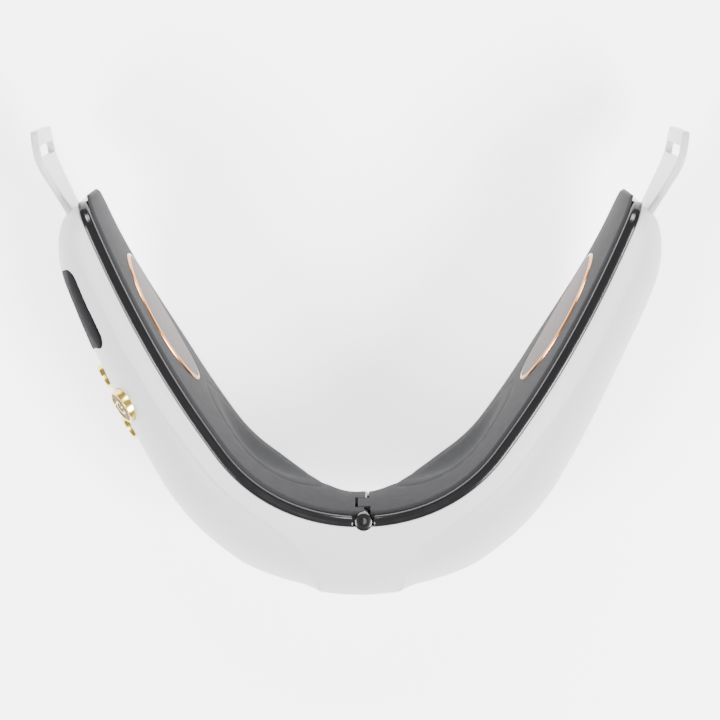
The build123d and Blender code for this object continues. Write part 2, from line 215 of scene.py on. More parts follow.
def apply_modifiers(piece):
    """Bake the modifiers into the mesh."""
    bpy.context.view_layer.update()
    mesh = bpy.data.meshes.new_from_object(piece.evaluated_get(bpy.context.evaluated_depsgraph_get()))
    piece.modifiers.clear()
    piece.data = mesh
    return piece


def cut(piece, cutters):
    """Take the cutters out of a piece."""
    for cutter in cutters:
        modifier = piece.modifiers.new("cut", "BOOLEAN")
        modifier.object, modifier.operation, modifier.solver = cutter, "DIFFERENCE", "EXACT"
        apply_modifiers(piece)
        bpy.data.objects.remove(cutter)
    return piece


def sharp_by_angle(piece, degrees=35):
    """Smooth shading, except across edges sharper than the angle."""
    work = bmesh.new()
    work.from_mesh(piece.data)
    for edge in work.edges:
        edge.smooth = not (len(edge.link_faces) == 2 and edge.calc_face_angle() > math.radians(degrees))
    for face in work.faces:
        face.smooth = True
    work.to_mesh(piece.data)
    work.free()
    return piece


def prism(name, origin, across, up, out, outline, low, high, material=None):
    """Closed prism of a 2D outline between two heights along out."""
    count = len(outline)
    points = [origin + across * p + up * q + out * h for h in (low, high) for p, q in outline]
    faces = [(i, (i + 1) % count, count + (i + 1) % count, count + i) for i in range(count)]
    faces += [tuple(reversed(range(count))), tuple(range(count, 2 * count))]
    return clean(make_object(name, points, faces, material or MATERIALS["dark"], smooth=False))


def turned(name, origin, across, up, out, profile, material, segments=72):
    """Solid of revolution about out: profile is a list of (radius, height), closed at both ends."""
    angles = np.linspace(0, 2 * math.pi, segments, endpoint=False)
    points = []
    for a in angles:
        for radius, height in profile:
            points.append(origin + (across * math.cos(a) + up * math.sin(a)) * radius + out * height)
    piece = make_object(name, points, grid_faces(segments, len(profile)), material)
    return sharp_by_angle(clean(piece, 0.002), 40)


def circle_outline(radius, count=64):
    """Circle, anticlockwise."""
    turns = np.linspace(0, 2 * math.pi, count, endpoint=False)
    return [(radius * math.cos(t), radius * math.sin(t)) for t in turns]


def rounded_outline(width, height, radius, per_corner=12):
    """Rounded rectangle, anticlockwise."""
    points = []
    for cx, cy, start in ((1, 1, 0), (-1, 1, 90), (-1, -1, 180), (1, -1, 270)):
        for t in np.linspace(0, 90, per_corner):
            a = math.radians(start + t)
            points.append((cx * (width / 2 - radius) + radius * math.cos(a),
                           cy * (height / 2 - radius) + radius * math.sin(a)))
    return points


# ---------------------------------------------------------------- materials

MOTTLE_SCALE, SCRATCH_SCALE, LEAST_ROUGHNESS = 60, 350, 0.02


def material(name, color, roughness, metallic=0.0, grain=None, mottle=0.0, scratch=0.0, **sockets):
    """Principled material with a fine bump, a slight colour variation and uneven roughness."""
    made = bpy.data.materials.new(name)
    made.use_nodes = True
    nodes, links = made.node_tree.nodes, made.node_tree.links
    shader = nodes["Principled BSDF"]
    shader.inputs["Base Color"].default_value = (*color, 1)
    shader.inputs["Roughness"].default_value = roughness
    shader.inputs["Metallic"].default_value = metallic
    for key, value in sockets.items():
        shader.inputs[key.replace("_", " ")].default_value = value
    coordinates = nodes.new("ShaderNodeTexCoord")
    if grain:
        scale, strength, distance = grain
        noise = nodes.new("ShaderNodeTexNoise")
        noise.inputs["Scale"].default_value = scale
        noise.inputs["Detail"].default_value = 4
        bump = nodes.new("ShaderNodeBump")
        bump.inputs["Strength"].default_value = strength
        bump.inputs["Distance"].default_value = distance
        links.new(coordinates.outputs["Object"], noise.inputs["Vector"])
        links.new(noise.outputs["Fac"], bump.inputs["Height"])
        links.new(bump.outputs["Normal"], shader.inputs["Normal"])
    if mottle:
        cloud = nodes.new("ShaderNodeTexNoise")
        cloud.inputs["Scale"].default_value = MOTTLE_SCALE
        ramp = nodes.new("ShaderNodeValToRGB")
        ramp.color_ramp.elements[0].color = (*[c * (1 - mottle) for c in color], 1)
        ramp.color_ramp.elements[1].color = (*[min(1, c * (1 + mottle)) for c in color], 1)
        links.new(coordinates.outputs["Object"], cloud.inputs["Vector"])
        links.new(cloud.outputs["Fac"], ramp.inputs["Fac"])
        links.new(ramp.outputs["Color"], shader.inputs["Base Color"])
    if scratch:
        rub = nodes.new("ShaderNodeTexNoise")
        rub.inputs["Scale"].default_value = SCRATCH_SCALE
        rub.inputs["Detail"].default_value = 6
        span = nodes.new("ShaderNodeMapRange")
        span.inputs["To Min"].default_value = max(LEAST_ROUGHNESS, roughness - scratch)
        span.inputs["To Max"].default_value = roughness + scratch
        links.new(coordinates.outputs["Object"], rub.inputs["Vector"])
        links.new(rub.outputs["Fac"], span.inputs["Value"])
        links.new(span.outputs["Result"], shader.inputs["Roughness"])
    return made


# Each row: name, colour, roughness; grain is noise scale, bump strength and bump distance in metres
MATERIALS = {
    "skin": material("soft_white_silicone", (0.46, 0.46, 0.465), 0.5, grain=(2600, 0.05, 0.0001),
                     mottle=0.01,
                     scratch=0.04, Specular_IOR_Level=0.35),
    "cover": material("satin_white_cover", (0.44, 0.44, 0.45), 0.38, grain=(3400, 0.03, 0.0001),
                      mottle=0.008,
                      scratch=0.05, Specular_IOR_Level=0.4),
    "black": material("gloss_black_frame", (0.004, 0.004, 0.0045), 0.2, grain=(1800, 0.03, 0.0001),
                      mottle=0.2,
                      scratch=0.05, Specular_IOR_Level=0.45),
    "pad": material("dark_grey_pad", (0.026, 0.026, 0.028), 0.65, grain=(1500, 0.18, 0.0002), mottle=0.05,
                    scratch=0.05, Specular_IOR_Level=0.08),
    "copper": material("copper_electrode", (0.66, 0.27, 0.08), 0.2, metallic=1.0,
                       grain=(900, 0.02, 0.00005),
                       mottle=0.03, scratch=0.05),
    "copper_face": material("tinted_electrode_face", (0.085, 0.064, 0.060), 0.36, metallic=0.0,
                            grain=(900, 0.02, 0.00005), mottle=0.04, scratch=0.04, Specular_IOR_Level=0.03),
    "lug": material("milky_clear_plastic", (0.50, 0.505, 0.515), 0.3, grain=(1200, 0.02, 0.00005),
                    mottle=0.008,
                    scratch=0.04, Subsurface_Weight=0.35, Subsurface_Scale=0.004, Transmission_Weight=0.12),
    "window": material("black_window", (0.004, 0.004, 0.005), 0.5, grain=(600, 0.02, 0.00005), mottle=0.1,
                       scratch=0.04, Specular_IOR_Level=0.01),
    "gold": material("polished_gold", (0.78, 0.57, 0.14), 0.2, metallic=1.0, grain=(1600, 0.03, 0.0001),
                     mottle=0.06, scratch=0.07),
    "brown": material("brown_enamel", (0.10, 0.075, 0.042), 0.4, grain=(2000, 0.06, 0.0001), mottle=0.08,
                      scratch=0.05, Specular_IOR_Level=0.03),
    "dark": material("moulded_dark", (0.02, 0.02, 0.02), 0.5, grain=(1500, 0.1, 0.0002),
                     mottle=0.05, scratch=0.05),
    "steel": material("brushed_steel", (0.58, 0.58, 0.6), 0.32, metallic=1.0, grain=(2500, 0.08, 0.0001),
                      mottle=0.03, scratch=0.08),
    "board": material("solder_green", (0.02, 0.16, 0.07), 0.4, grain=(1200, 0.1, 0.0002),
                      mottle=0.15, scratch=0.08),
    "film": material("amber_film", (0.55, 0.26, 0.05), 0.35, grain=(800, 0.1, 0.0002), mottle=0.1,
                     scratch=0.05),
    "foil": material("battery_foil", (0.7, 0.7, 0.72), 0.3, metallic=0.9, grain=(500, 0.2, 0.0003),
                     mottle=0.04,
                     scratch=0.1),
    "floor": material("pale_floor", (0.95, 0.95, 0.95), 0.8, grain=(90, 0.02, 0.0005), mottle=0.004,
                      Specular_IOR_Level=0.1, Emission_Color=(1, 1, 1, 1), Emission_Strength=1.6),
}

SLOT_LOOKS = {"soft_skin": "skin", "hard_cover": "cover", "black_frame": "black", "grey_pad": "pad",
              "copper": "copper", "clear_white": "lug", "window_black": "window", "gold": "gold",
              "brown_face": "brown", "board": "board", "steel": "steel", "dark_part": "dark", "film": "film",
              "battery_foil": "foil"}


def dress_cad_nodes():
    """Give every carried-over CAD node its slot's material; the hinge pin instead gets the dark one, as
    painted shade.
    """
    slots = {row["node"]: row["material_slot"] for row in frame["record"]["subparts"]}
    for node, piece in frame["nodes"].items():
        for material_slot in piece.material_slots:
            # The hinge pin is coloured dark in place of its slot's look: painted shade in the hole at the
            # barrel's top.
            material_slot.material = MATERIALS["dark" if node == "hinge_pin" else SLOT_LOOKS[slots[node]]]


# ---------------------------------------------------------------- white shell

# The cover's edge in plan (s, n), the same points as the CAD model's; the first closes it at the nose
COVER_EDGE = ((7.0, 21.5), (7.2, 20), (8.2, 15.5), (11, 10.2), (15.5, 6.4), (22, 4.3), (30, 3.8), (40, 4.0),
              (60, 4.8), (78, 4.9), (95, 4.6), (104, 5.2), (109, 8), (110.5, 15))
EDGE_SAMPLES, SMOOTH_WIDTH, SHARP_ENDS = 1200, 61, 3
# The walls are thinner than the CAD model's 2 mm
SHELL_THICK, COVER_EXTRA_THICK, LEAST_BULGE = 1.5, 0.3, 0.3
RIM_N, RIM_ROUND, RIM_BEVEL, END_ROUND = 0.02, 0.35, 0.11, 2.2
EDGE_GAP, COVER_STATIONS, COVER_ROWS = 0.03, 190, 90
SKIN_NOSE_STATIONS, SKIN_ROWS, SKIN_CROWDING = 13, 28, 1.3
# Stations past the covers, closer together as the skin rounds off at the temple end
SKIN_END_STATIONS = (110.2, 110.9, 111.25, 111.35, 111.8, 112.3, 112.7, 113.05, 113.3, 113.45)
# The bevel inside the cover's edge is wider and deeper at the nose, and fades towards the temple
BEVEL_NOSE_END, BEVEL_NOSE_LENGTH = 24, 15
BEVEL_WIDTH, BEVEL_NOSE_WIDTH = 1.3, 4.6
BEVEL_DEPTH, BEVEL_NOSE_DEPTH = 0.55, 0.6
BEVEL_FADE_START, BEVEL_FADE, COVER_SINK = 72, 26, 0.02
BARREL_LOW, BARREL_HIGH, SKIN_CLEARANCE, PAD_CLEARANCE = 5, 90, 0.18, 0.12
HOLE_DEPTH, WINDOW_HOLE_DEPTH = 4, 5


def crease_n(s):
    """Distance of the crease from the rim, in plan."""
    edge_s, edge_n = np.array(COVER_EDGE).T
    dense = np.linspace(edge_s[0], edge_s[-1], EDGE_SAMPLES)
    raw = np.interp(dense, edge_s, edge_n)
    padded = np.pad(raw, SMOOTH_WIDTH // 2, mode="edge")
    smooth = np.convolve(padded, np.ones(SMOOTH_WIDTH) / SMOOTH_WIDTH, mode="valid")
    near = ease((dense - edge_s[0]) / SHARP_ENDS) * ease((edge_s[-1] - dense) / SHARP_ENDS)
    return np.interp(np.abs(s), dense, raw * (1 - near) + smooth * near)


def crease_angle(s):
    """Profile angle of the crease at s, zero where the cover's edge has closed at the belly."""
    return np.arccos(np.clip(crease_n(s) / bulge(s), 0, 1))


def closing(first, last, at_nose):
    """Where the crease reaches the belly between first and last."""
    span = np.linspace(first, last, 4000)
    open_now = crease_n(span) < bulge(span)
    if at_nose:
        return span[np.argmax(open_now)]
    return span[len(span) - 1 - np.argmax(open_now[::-1])]


COVER_START = closing(6.9, 12, True)
COVER_END = closing(100, 110.5, False)


def shell_points(s, angle, inset=0.0):
    """Points of the shell's outer surface at profile angles (pi/2 at the top), moved in by inset."""
    past = np.maximum(0, np.abs(s) - HALF_RIM + END_ROUND)
    shrink = END_ROUND - np.sqrt(np.maximum(0, END_ROUND ** 2 - past ** 2))
    inset = inset + shrink
    belly = belly_z(s)
    half = np.where(angle > 0, top_z(s) - belly, belly - bottom_z(s))
    n = np.maximum(bulge(s) - inset, LEAST_BULGE) * np.cos(angle)
    return place(s, n, belly + (half - inset) * np.sin(angle))


def shell_normals(s, angle):
    """Outward normals by finite differences."""
    step_s, step_a, margin = 0.05, 0.002, 0.06
    limit = HALF_RIM - margin
    s0, s1 = np.clip(s - step_s, -limit, limit), np.clip(s + step_s, -limit, limit)
    along = shell_points(s1, angle) - shell_points(s0, angle)
    down = shell_points(s, angle - step_a) - shell_points(s, angle + step_a)
    normal = np.cross(down, along)
    return normal / np.maximum(np.linalg.norm(normal, axis=-1, keepdims=True), 1e-9)


def columns(first, last, count):
    """Stations bunched towards both ends."""
    return first + (last - first) * (1 - np.cos(np.linspace(0, math.pi, count))) / 2


def inner_points(s, angle):
    """The skin's inner face; near the temple ends it closes to a line, so that the ends are solid."""
    inner = shell_points(s, angle, SHELL_THICK)
    closed = place(s, RIM_N, belly_z(s))
    return np.where((np.abs(s) > HALF_RIM - END_ROUND)[..., None], closed, inner)


def skin_band(s, sign):
    """Rings of one band: the rim's edge, the outer face down to the cover, and the inner face back."""
    share = np.linspace(0, 1, SKIN_ROWS) ** SKIN_CROWDING
    open_band = (np.abs(s) > COVER_START) & (np.abs(s) < COVER_END)
    limit = np.where(open_band, crease_angle(s), 0.0)
    start = np.arccos(RIM_ROUND / bulge(s))
    angle = sign * (start[:, None] + (limit - start)[:, None] * share[None, :])
    grid_s = np.repeat(s[:, None], len(share), axis=1)
    outer = shell_points(grid_s, angle)
    inner = inner_points(grid_s, angle)
    edge_z = shell_points(s, np.full_like(s, sign * math.pi / 2))[:, 2]
    rim_round = [place(s, RIM_N, edge_z - sign * RIM_ROUND), place(s, RIM_BEVEL, edge_z - sign * RIM_BEVEL)]
    inner_edge = place(s, RIM_N, inner[:, 0, 2])
    return np.concatenate([inner_edge[:, None], np.stack(rim_round, axis=1), outer, inner[:, ::-1]], axis=1)


def skin_mesh():
    """The one-piece soft skin from temple to temple: a band above the covers and one below them."""
    nose = np.linspace(0, COVER_START, SKIN_NOSE_STATIONS)[1:]
    covered = columns(COVER_START + EDGE_GAP, COVER_END - EDGE_GAP, COVER_STATIONS)
    half = np.concatenate([nose, covered, [COVER_END], SKIN_END_STATIONS])
    s = np.concatenate([-half[::-1], [0.0], half])
    bands = [skin_band(s, sign) for sign in (1, -1)]
    faces = []
    for number, band in enumerate(bands):
        count, rows = band.shape[:2]
        faces += capped_tube_faces(count, rows, number * count * rows)
    points = np.concatenate([band.reshape(-1, 3) for band in bands])
    piece = clean(make_object("soft_skin", points, faces, MATERIALS["skin"]), 0.0005)
    return drop_inner_walls(piece)


def drop_inner_walls(piece):
    """Delete the walls that the two bands share where they meet."""
    work = bmesh.new()
    work.from_mesh(piece.data)
    walls = [f for f in work.faces if sum(len(e.link_faces) > 2 for e in f.edges) > 1]
    bmesh.ops.delete(work, geom=walls, context="FACES")
    bmesh.ops.recalc_face_normals(work, faces=work.faces)
    work.to_mesh(piece.data)
    work.free()
    return piece


def cover_drop(along, distance):
    """How far the cover's face lies below the shell's surface, at a distance from the cover's edge."""
    nose = ease((BEVEL_NOSE_END - along) / BEVEL_NOSE_LENGTH)
    width = BEVEL_WIDTH + BEVEL_NOSE_WIDTH * nose
    depth = (BEVEL_DEPTH + BEVEL_NOSE_DEPTH * nose) * (1 - ease((along - BEVEL_FADE_START) / BEVEL_FADE))
    fall = 1 - (1 - np.clip(distance / width, 0, 1)) ** 2
    return COVER_SINK + depth * fall


def cover_mesh(side, name):
    """Hard eye cover: a bevel falls from the crease to a slightly lower face."""
    stations = side * columns(COVER_START + EDGE_GAP, COVER_END - EDGE_GAP, COVER_STATIONS)
    share = (1 - np.cos(np.linspace(0, math.pi, COVER_ROWS))) / 2
    angle = crease_angle(stations)[:, None] * (1 - 2 * share[None, :])
    grid_s = np.repeat(stations[:, None], COVER_ROWS, axis=1)
    base = shell_points(grid_s, angle)
    edge = np.concatenate([base[:, 0], base[:, -1]])
    distance = np.array([np.min(np.linalg.norm(edge - p, axis=1)) for p in base.reshape(-1, 3)])
    drop = cover_drop(np.abs(grid_s), distance.reshape(grid_s.shape))
    outer = base - shell_normals(grid_s, angle) * drop[..., None]
    inner = shell_points(grid_s, angle, SHELL_THICK + COVER_EXTRA_THICK)
    block = np.concatenate([outer, inner[:, ::-1]], axis=1)
    faces = capped_tube_faces(*block.shape[:2])
    return clean(make_object(name, block.reshape(-1, 3), faces, MATERIALS["cover"]), 0.0001)


def barrel_cutter(name, clearance):
    """Upright cylinder that clears the hinge barrel."""
    axes = np.array([1.0, 0, 0]), np.array([0, 1.0, 0]), np.array([0, 0, 1.0])
    outline = circle_outline(BARREL_RADIUS + clearance)
    return prism(name, np.array([*HINGE, 0.0]), *axes, outline, BARREL_LOW, BARREL_HIGH)


def control_cutters():
    """Holes in the right cover for the buttons, the window and the charging socket."""
    cutters = []
    for (s, z), radius in ((POWER, POWER_RADIUS), (PLUS, SMALL_RADIUS), (MINUS, SMALL_RADIUS)):
        button = circle_outline(radius + BUTTON_GAP)
        cutters.append(prism("hole", *facing(s, z), button, -HOLE_DEPTH, HOLE_DEPTH))
    window = rounded_outline(*WINDOW_SIZE, WINDOW_CORNER)
    cutters.append(prism("hole", *facing(*WINDOW), window, -WINDOW_HOLE_DEPTH, WINDOW_HOLE_DEPTH))
    socket = rounded_outline(*SOCKET_SIZE, SOCKET_CORNER)
    cutters.append(prism("hole", *facing(*SOCKET), socket, -HOLE_DEPTH, HOLE_DEPTH))
    return cutters


def make_shell():
    skin = cut(skin_mesh(), [barrel_cutter("barrel_cut", SKIN_CLEARANCE)])
    sharp_by_angle(skin, 40)
    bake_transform(skin)
    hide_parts("right_skin", "left_skin", "bridge_skin")
    for side, half in SIDES:
        cover = cover_mesh(side, f"{half}_eye_cover")
        if half == "right":
            cut(cover, control_cutters())
        sharp_by_angle(cover, 40)
        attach(cover, f"{half}_half")
        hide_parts(f"{half}_cover")


# ---------------------------------------------------------------- frames, pads, electrodes

NOSE_CORNER, LEAST_ARC, GROUND = 0.7, 0.05, 0.02
FRAME_START = {-1: 1.5, 1: 3.3}
# Further out than the CAD model, whose frames end at HALF_RIM and pads 1.8 before it
FRAME_END = HALF_RIM + 1.2
SPINE_START = 5
# Section of the bead as (inset, n), from the plate's wearer side over the bead to the plate's outer side
BEAD = ((1.78, -PLATE), (1.8, -1.9), (1.72, -2.3), (1.5, -2.55), (1.15, -2.66), (0.8, -2.6), (0.5, -2.42),
        (0.26, -2.12), (0.12, -1.75), (0.14, -1.55), (0.05, -1.4), (0.0, -1.1), (0.0, -0.3), (0.1, -0.08),
        (0.32, 0.0))
WEB_REACH, WEB_WIDTH, WEB_CORNER, WEB_INSET, WEB_ROOT_N = 1.4, 1.7, 0.4, 0.5, -1.3
# The pads' nose ends start at these stations below, beside and above the middle knuckle
PAD_STARTS = {-1: (-1.5, 1.35, -1.1), 1: (2.6, -0.6, 2.9)}
PAD_END, PAD_CORNER, PAD_GAP, PAD_CALM = FRAME_END + 0.9, 7.0, 0.5, 3.2
PAD_ROUND, PAD_BASE, PAD_BACK, PAD_END_BACK, PAD_BACK_STEP = 1.1, 2.8, 1.7, 2.74, 110.5
PAD_TAIL = (0.9, 0.7, 0.5, 0.3, 0.15, 0.05, 0.0)
PAD_EDGE_ROWS = (0.0, 0.04, 0.15, 0.35, 0.6, 0.9, 1.2)
TONGUE_LIFT = 0.15
EYE_S, EYE_Z = 33, 25.5
HOLLOW_S, HOLLOW_Z, HOLLOW_DEPTH = 19, 13.5, 2.1
LINE_S, LINE_Z, LINE_DEPTH, LINE_WIDTH = 23, 17.0, 0.28, 0.035
# The CAD model's electrode has half axes of 19.5 and 13.5
ELECTRODE_S, ELECTRODE_Z, ELECTRODE_RADIUS_S, ELECTRODE_RADIUS_Z = 78.0, 35.0, 19.0, 13.2
ELECTRODE_PROUD, ELECTRODE_DISH, ELECTRODE_RIM_BANDS = 0.45, 0.12, 3
ELECTRODE_RIM = ((1.0, -0.8), (1.0, 0.15), (0.992, 0.32), (0.975, 0.42), (0.955, ELECTRODE_PROUD))
ELECTRODE_FACE = (0.94, 0.85, 0.7, 0.5, 0.3, 0.1, 0.0)


def frame_outline(start, inset):
    """Closed outline in (s, z), moved in by inset, with round corners; its count of points never changes."""
    arc_count, body_count, end_count = 14, 150, 16
    temple = max(END_RADIUS - inset, LEAST_ARC)
    centre = max(NOSE_CORNER, inset + LEAST_ARC)
    nose = centre - inset
    swing = np.linspace(0, math.pi / 2, arc_count)
    last = FRAME_END - END_RADIUS
    nose_s = start + centre - nose * np.cos(swing[:-1])
    body_s = np.linspace(start + centre, last, body_count)[:-1]
    temple_s = last + temple * np.sin(swing)
    span = np.concatenate([nose_s, body_s, temple_s])
    nose_drop, temple_drop = nose * (1 - np.sin(swing[:-1])), temple * (1 - np.cos(swing))
    drop = np.concatenate([nose_drop, np.zeros(len(body_s)), temple_drop])
    high = top_z(span) + end_drop(span) - inset - drop
    low = np.maximum(bottom_z(span) - end_drop(span) - FOOT, GROUND) + inset + drop
    fill = np.linspace(0, 1, end_count)[1:-1]
    temple_z = high[-1] + (low[-1] - high[-1]) * fill
    nose_z = low[0] + (high[0] - low[0]) * fill
    upper = np.stack([span, high], axis=1)
    lower = np.stack([span, low], axis=1)[::-1]
    temple_edge = np.stack([np.full(len(fill), span[-1]), temple_z], axis=1)
    nose_edge = np.stack([np.full(len(fill), span[0]), nose_z], axis=1)
    return np.concatenate([upper, temple_edge, lower, nose_edge]), len(span), len(fill)


def frame_spine(start, count, edge):
    """Where each outline point's row ends: the middle line of the frame."""
    body = frame_outline(start, 0.0)[0][:count, 0]
    along = np.clip(body, start + SPINE_START, FRAME_END - END_RADIUS)
    middle = (top_z(along) + bottom_z(along)) / 2
    line = np.stack([along, middle], axis=1)
    temple_edge = np.repeat(line[-1:], edge, axis=0)
    nose_edge = np.repeat(line[:1], edge, axis=0)
    return np.concatenate([line, temple_edge, line[::-1], nose_edge])


def frame_mesh(side, half):
    """Inner frame: a plate with a rounded bead all round, the bead proud on the wearer's side."""
    start = FRAME_START[side]
    rings = []
    for inset, n in BEAD:
        path, count, edge = frame_outline(start, inset)
        rings.append(place(side * path[:, 0], n, path[:, 1]))
    spine = frame_spine(start, count, edge)
    rings.insert(0, place(side * spine[:, 0], -PLATE, spine[:, 1]))
    rings.append(place(side * spine[:, 0], 0.0, spine[:, 1]))
    block = np.stack(rings, axis=1)
    faces = grid_faces(*block.shape[:2])
    piece = make_object(f"{half}_frame_bead", block.reshape(-1, 3), faces, MATERIALS["black"])
    return sharp_by_angle(clean(piece, 0.002), 50)


def web_mesh(side, half, low, high):
    """Web that joins a hinge barrel to its frame."""
    root = place(side * (FRAME_START[side] + WEB_REACH), WEB_ROOT_N, 0.0)
    base = np.array([*HINGE, 0.0])
    length = np.linalg.norm(root - base)
    along = (root - base) / length
    upright = np.array([0, 0, 1.0])
    across = np.cross(upright, along)
    outline = [(p + length / 2, q) for p, q in rounded_outline(length, WEB_WIDTH, WEB_CORNER, 6)]
    return prism(f"{half}_hinge_web_{int(low)}", base, along, across, upright, outline,
                 low + WEB_INSET, high - WEB_INSET, MATERIALS["black"])


def barrel_mesh(half, low, high):
    """One hinge barrel with rounded edges and a recess round the pin."""
    height = high - low
    profile = [(PIN_RADIUS, 0.0), (BARREL_RADIUS - 0.25, 0.0), (BARREL_RADIUS - 0.07, 0.07),
               (BARREL_RADIUS, 0.25), (BARREL_RADIUS, height - 0.3), (BARREL_RADIUS - 0.09, height - 0.09),
               (BARREL_RADIUS - 0.3, height), (PIN_RADIUS + 0.15, height), (PIN_RADIUS, height - 0.15),
               (PIN_RADIUS, 0.0)]
    base = np.array([*HINGE, low])
    axes = np.array([1.0, 0, 0]), np.array([0, 1.0, 0]), np.array([0, 0, 1.0])
    return turned(f"{half}_hinge_barrel_{int(low)}", base, *axes, profile, MATERIALS["black"])


def pad_face(s, z, low, high):
    """Depth of the pad's convex face, with rounded edges, a hollow over the eye and a line round that."""
    middle, half = (low + high) / 2, (high - low) / 2
    face = PAD_CREST - (PAD_CREST - PAD_EDGE) * np.clip(np.abs(z - middle) / half, 0, 1) ** 2
    along = np.abs(s)
    eye = np.clip(((along - EYE_S) / HOLLOW_S) ** 2 + ((z - EYE_Z) / HOLLOW_Z) ** 2, 0, 1)
    face -= HOLLOW_DEPTH * (1 - eye) ** 1.5
    ridge = np.sqrt(((along - EYE_S) / LINE_S) ** 2 + ((z - EYE_Z) / LINE_Z) ** 2)
    face -= LINE_DEPTH * np.exp(-((ridge - 1) / LINE_WIDTH) ** 2)
    edge = np.minimum(np.minimum(high - z, z - low), PAD_END - along)
    rounding = np.sqrt(np.clip(1 - (1 - np.clip(edge / PAD_ROUND, 0, 1)) ** 2, 0, 1))
    return PAD_BASE + (face - PAD_BASE) * rounding


def pad_stations(starts):
    """Stations from the nose end to the temple end, with one at every start of a tongue."""
    tongue_count, body_count, turn_count = 6, 170, 18
    steps = sorted({*starts, PAD_CALM})
    near = [np.linspace(a, b, tongue_count)[:-1] for a, b in zip(steps[:-1], steps[1:])]
    body = np.linspace(PAD_CALM, PAD_END - PAD_CORNER, body_count)[:-1]
    swing = np.linspace(0, 1.2, turn_count)
    turn = PAD_END - PAD_CORNER + (PAD_CORNER - PAD_ROUND) * np.sin(swing) / math.sin(swing[-1])
    return np.concatenate([*near, body, turn, PAD_END - np.array(PAD_TAIL)])


def pad_heights(along, bounds):
    """Heights of the pad's grid, and its lower and upper edges; a row runs along each bound at the nose."""
    row_count, corner_limit = 46, 0.93
    t = np.clip((along - PAD_END + PAD_CORNER) / PAD_CORNER, 0, corner_limit)
    drop = PAD_CORNER * (1 - np.sqrt(1 - t * t))
    calm = np.maximum(along, PAD_CALM)
    high = top_z(calm) + end_drop(calm) - PAD_INSET - drop
    low = bottom_z(calm) - end_drop(calm) + PAD_INSET + drop
    edge = np.array(PAD_EDGE_ROWS)
    margin = edge[-1]
    nose_low, nose_high = float(low[0]), float(high[0])
    span = nose_high - nose_low
    inner = np.linspace(margin, span - margin, row_count)[1:-1]
    for bound in bounds:
        inner[np.argmin(np.abs(inner - (bound - nose_low)))] = bound - nose_low
    share = (np.concatenate([edge, inner, span - edge[::-1]]) - margin) / (span - 2 * margin)
    z = low[:, None] + margin + share[None, :] * (high - low - 2 * margin)[:, None]
    z[:, :len(edge)] = low[:, None] + edge
    z[:, -len(edge):] = high[:, None] - edge[::-1]
    return z, low, high


def pad_faces(along, limit):
    """Front and back quads past each row's start, and the walls that close their edges."""
    count, rows = len(along), len(limit) + 1
    back = count * rows
    faces, walls = [], {}
    for i in range(count - 1):
        for j in range(rows - 1):
            if (along[i] + along[i + 1]) / 2 < limit[j]:
                continue
            a, b = i * rows + j, (i + 1) * rows + j
            quad = (a, b, b + 1, a + 1)
            faces.append(quad)
            faces.append(tuple(back + k for k in reversed(quad)))
            for k in range(4):
                pair = (quad[k], quad[(k + 1) % 4])
                if not walls.pop(pair[::-1], False):
                    walls[pair] = True
    return faces + [(b, a, back + a, back + b) for a, b in walls]


def pad_mesh(side, half):
    """Soft face pad, whose nose end interleaves with the other pad's at the hinge."""
    starts = PAD_STARTS[side]
    below, above = KNUCKLES[1]
    bounds = (below + TONGUE_LIFT + side * PAD_GAP / 2, above + TONGUE_LIFT - side * PAD_GAP / 2)
    along = pad_stations(starts)
    z, low, high = pad_heights(along, bounds)
    s = np.repeat(along[:, None], z.shape[1], axis=1)
    front = place(side * s, -pad_face(s, z, low[:, None], high[:, None]), z)
    back = place(side * s, -np.where(s > PAD_BACK_STEP, PAD_END_BACK, PAD_BACK), z)
    points = np.concatenate([front.reshape(-1, 3), back.reshape(-1, 3)])
    middle_z = (z[0, 1:] + z[0, :-1]) / 2
    limit = np.where(middle_z < bounds[0], starts[0], np.where(middle_z < bounds[1], starts[1], starts[2]))
    piece = clean(make_object(f"{half}_pad", points, pad_faces(along, limit), MATERIALS["pad"]), 0.002)
    cut(piece, [barrel_cutter("cut", PAD_CLEARANCE)])
    return sharp_by_angle(piece, 50)


def electrode_mesh(side, half):
    """Oval copper plate with a bright bevelled rim, set proud of the pad."""
    profile = [*ELECTRODE_RIM, *[(r, ELECTRODE_PROUD - ELECTRODE_DISH * (1 - r)) for r in ELECTRODE_FACE]]
    angles = np.linspace(0, 2 * math.pi, 120, endpoint=False)
    points = []
    for a in angles:
        for r, proud in profile:
            s = ELECTRODE_S + ELECTRODE_RADIUS_S * r * math.cos(a)
            z = ELECTRODE_Z + ELECTRODE_RADIUS_Z * r * math.sin(a)
            low, high = float(bottom_z(s)) + PAD_INSET, float(top_z(s)) - PAD_INSET
            depth = float(pad_face(np.array(s), np.array(z), low, high)) + proud
            points.append(place(side * s, -depth, z))
    faces = grid_faces(len(angles), len(profile))
    faces.append(tuple(i * len(profile) for i in range(len(angles))))
    piece = make_object(f"{half}_electrode_plate", points, faces, MATERIALS["copper"])
    piece.data.materials.append(MATERIALS["copper_face"])
    bands = len(profile) - 1
    for polygon in piece.data.polygons[:len(angles) * bands]:
        polygon.material_index = int(polygon.index % bands > ELECTRODE_RIM_BANDS)
    return sharp_by_angle(clean(piece), 50)


def make_inside():
    for side, half in SIDES:
        body = f"{half}_half"
        bead = frame_mesh(side, half)
        knuckles = [KNUCKLES[k] for k in ((0, 2) if side < 0 else (1,))]
        parts = [bead]
        for low, high in knuckles:
            parts += [barrel_mesh(half, low, high), web_mesh(side, half, low, high)]
        for part in parts:
            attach(part, body)
        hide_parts(f"{half}_inner_frame")
        pad = pad_mesh(side, half)
        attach(pad, body)
        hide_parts(f"{half}_face_pad")
        plate = electrode_mesh(side, half)
        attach(plate, body)
        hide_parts(f"{half}_electrode")


# ---------------------------------------------------------------- lugs

